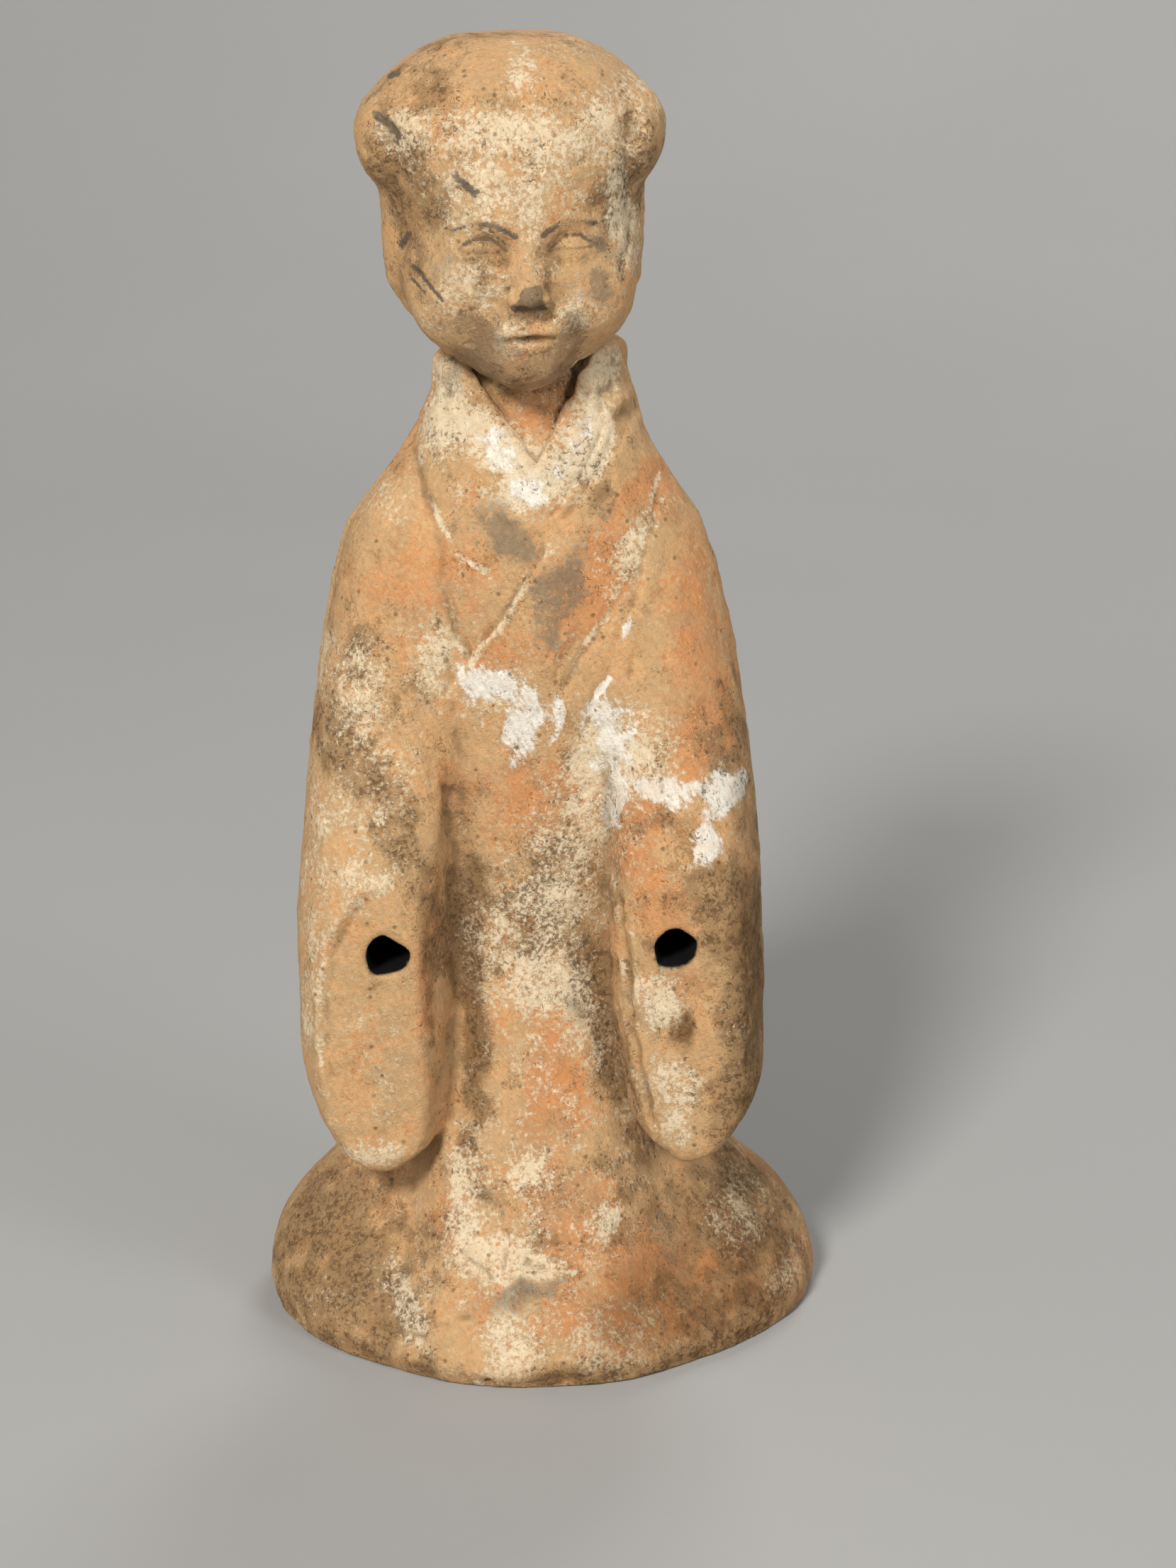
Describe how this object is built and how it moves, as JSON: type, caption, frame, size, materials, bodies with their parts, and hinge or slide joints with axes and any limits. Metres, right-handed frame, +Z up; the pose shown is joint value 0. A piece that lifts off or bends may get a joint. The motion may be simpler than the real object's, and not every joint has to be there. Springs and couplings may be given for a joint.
{
  "type": "terracotta court lady figure",
  "caption": "Standing moulded clay figure of a lady in a crossed robe with long hanging sleeves, empty hand sockets and a flared skirt, open and hollow below.",
  "frame": {"origin": "centre of the skirt's lower rim, on the surface that the figure stands on", "axes": "+Z up, the figure faces -Y, and +X is on the right of someone who looks at the figure's front"},
  "size_m": [0.1511, 0.1333, 0.34],
  "materials": {
    "terracotta": "matte fired clay with worn white slip, soil and dark mineral stains"
  },
  "bodies": {
    "root": {"court_lady_figure": "terracotta"}
  },
  "joints": []
}
